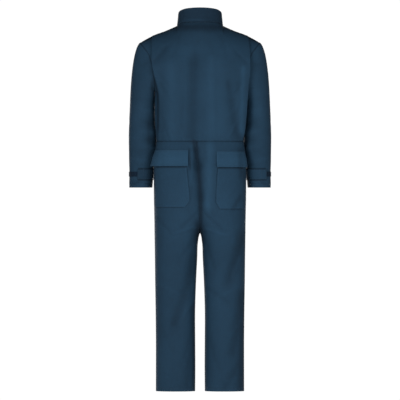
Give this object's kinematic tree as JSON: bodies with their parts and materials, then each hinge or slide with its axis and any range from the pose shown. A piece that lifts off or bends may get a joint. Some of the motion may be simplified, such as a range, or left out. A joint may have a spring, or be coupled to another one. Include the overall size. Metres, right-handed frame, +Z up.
{
  "type": "boiler suit",
  "caption": "One-piece woven work suit with a stand collar, action-pleat back, long sleeves with closure tabs, flapped seat pockets and a front zip, in its filled-out shape.",
  "frame": {"origin": "base of the neck, in the middle of the shoulder line, where a wearer's shoulders carry the suit", "axes": "+Z up from the hems to the collar, +X to the wearer's left, -Y to the wearer's front, where the zip is"},
  "size_m": [0.5968, 0.2441, 1.6013],
  "materials": {
    "navy_twill": "matt woven twill",
    "loop_strip": "matt loop pile",
    "zip_metal": "dull plated zip metal"
  },
  "bodies": {
    "suit": {"back_bodice": "navy_twill", "front_bodice_left": "navy_twill", "front_bodice_right": "navy_twill", "collar": "navy_twill", "sleeve_left": "navy_twill", "sleeve_right": "navy_twill", "cuff_tab_left": "navy_twill", "cuff_tab_right": "navy_twill", "cuff_strip_left": "loop_strip", "cuff_strip_right": "loop_strip", "back_leg_left": "navy_twill", "back_leg_right": "navy_twill", "front_leg_left": "navy_twill", "front_leg_right": "navy_twill", "pocket_left": "navy_twill", "pocket_right": "navy_twill", "flap_left": "navy_twill", "flap_right": "navy_twill", "zip_tape": "navy_twill", "zip_chain": "zip_metal", "zip_slider": "zip_metal"},
    "pull_tab": {"zip_pull": "zip_metal"}
  },
  "joints": [
    {"name": "pull_tab_swing", "type": "hinge", "parent": "suit", "child": "pull_tab", "pos_m": [0, -0.0719, 0.008], "axis": [-1, 0, 0], "range_deg": [0, 150]}
  ]
}
